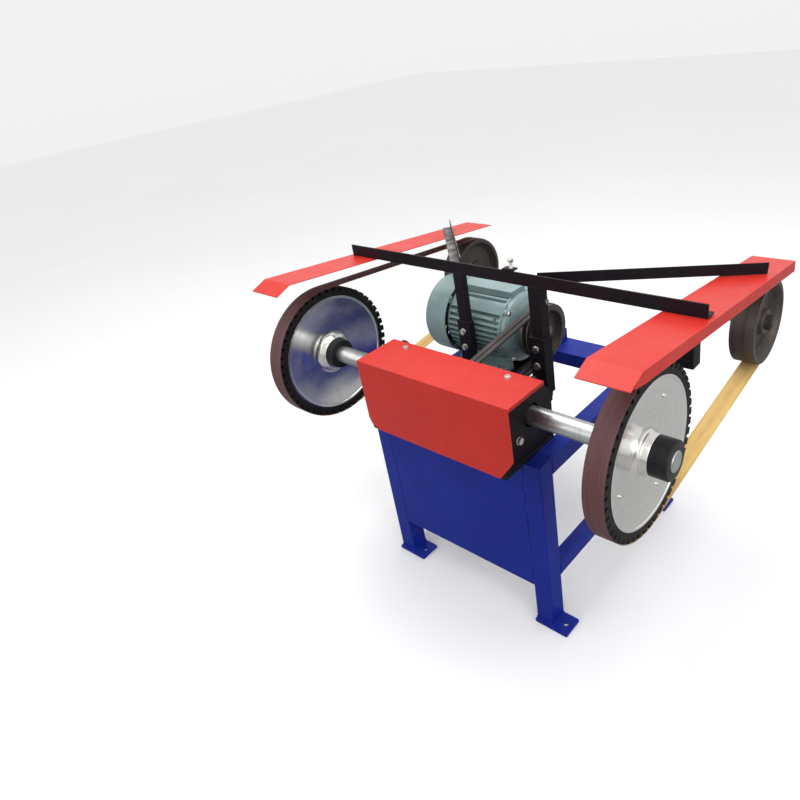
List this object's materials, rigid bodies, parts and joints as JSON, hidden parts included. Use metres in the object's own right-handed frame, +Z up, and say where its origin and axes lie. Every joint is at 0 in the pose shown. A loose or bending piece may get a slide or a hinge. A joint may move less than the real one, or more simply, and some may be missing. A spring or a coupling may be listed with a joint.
{
  "type": "drum sander",
  "caption": "Double-ended abrasive belt grinder: rubber contact wheels on one belt-driven spindle, rear idlers, belt guards, motor and welded stand.",
  "frame": {"origin": "centre of the footprint on the floor", "axes": "+X along the spindle to the pulley side, +Y from the operator's side to the idlers, +Z up"},
  "size_m": [1.2, 1.0112, 0.9616],
  "materials": {
    "fastener": "zinc plated",
    "blue_paint": "glossy enamel",
    "black_paint": "satin enamel",
    "red_paint": "semi-gloss enamel",
    "bright_steel": "turned",
    "cast_iron": "machined and darkened",
    "polished_aluminium": "turned and polished",
    "tyre_rubber": "matt, serrated",
    "abrasive_cloth": "bonded grain on cloth",
    "motor_paint": "grey-green enamel",
    "fan_plastic": "moulded",
    "belt_rubber": "wrapped"
  },
  "bodies": {
    "frame": {"abrasive_belt_left": "abrasive_cloth", "abrasive_belt_right": "abrasive_cloth", "bearing_bolts": "fastener", "bearings": "black_paint", "bench_beam": "blue_paint", "bench_plate": "black_paint", "cover": "red_paint", "cover_bolts": "fastener", "end_plate_left": "black_paint", "end_plate_right": "black_paint", "fan_cowl": "motor_paint", "foot_plates": "blue_paint", "front_beam": "blue_paint", "front_panel": "blue_paint", "leg_front_left": "blue_paint", "leg_front_right": "blue_paint", "leg_rear_left": "blue_paint", "leg_rear_right": "blue_paint", "low_rail_left": "blue_paint", "low_rail_right": "blue_paint", "motor_beams": "blue_paint", "motor_body": "motor_paint", "motor_bolts": "fastener", "motor_plate": "black_paint", "motor_shields": "motor_paint", "post_bar": "black_paint", "post_bolts": "fastener", "post_lower_left": "black_paint", "post_lower_right": "black_paint", "rear_beam": "blue_paint", "side_rail_left": "blue_paint", "side_rail_right": "blue_paint", "sleeve_left": "black_paint", "sleeve_right": "black_paint", "terminal_box": "motor_paint", "tie_bar": "black_paint", "vee_belts": "belt_rubber"},
    "spindle": {"spindle": "bright_steel", "spindle_pulley": "cast_iron", "contact_wheel_left": "polished_aluminium", "contact_wheel_right": "polished_aluminium", "tyre_left": "tyre_rubber", "tyre_right": "tyre_rubber", "spindle_collars": "black_paint"},
    "rotor": {"rotor_shaft": "bright_steel", "motor_pulley": "cast_iron", "motor_fan": "fan_plastic"},
    "arm_left": {"idler_arm_left": "cast_iron"},
    "arm_right": {"idler_arm_right": "cast_iron"},
    "idler_left": {"idler_wheel_left": "cast_iron"},
    "idler_right": {"idler_wheel_right": "cast_iron"},
    "guard_set": {"crossbar": "black_paint", "crossbar_lug": "black_paint", "guard_left": "red_paint", "guard_right": "red_paint", "brace_left": "black_paint", "brace_right": "black_paint", "guard_bolts": "fastener", "post_upper_left": "black_paint", "post_upper_right": "black_paint"}
  },
  "joints": [
    {"name": "spindle_spin", "type": "hinge", "parent": "frame", "child": "spindle", "pos_m": [0, -0.304, 0.665], "axis": [1, 0, 0], "continuous": true},
    {"name": "motor_spin", "type": "hinge", "parent": "frame", "child": "rotor", "pos_m": [0, 0.022, 0.707], "axis": [1, 0, 0], "continuous": true},
    {"name": "belt_tension_left", "type": "slide", "parent": "frame", "child": "arm_left", "axis": [0, -1, 0], "range_m": [0, 0.025]},
    {"name": "belt_tension_right", "type": "slide", "parent": "frame", "child": "arm_right", "axis": [0, -1, 0], "range_m": [0, 0.025]},
    {"name": "idler_spin_left", "type": "hinge", "parent": "arm_left", "child": "idler_left", "pos_m": [0, 0.384, 0.676], "axis": [1, 0, 0], "continuous": true},
    {"name": "idler_spin_right", "type": "hinge", "parent": "arm_right", "child": "idler_right", "pos_m": [0, 0.384, 0.676], "axis": [1, 0, 0], "continuous": true},
    {"name": "guard_height", "type": "slide", "parent": "frame", "child": "guard_set", "axis": [0, 0, 1], "range_m": [-0.025, 0.025]}
  ],
  "couplings": [
    {"joint": "motor_spin", "follows": "spindle_spin", "ratio": 1.05},
    {"joint": "idler_spin_left", "follows": "spindle_spin", "ratio": 1.6667},
    {"joint": "idler_spin_right", "follows": "spindle_spin", "ratio": 1.6667}
  ]
}
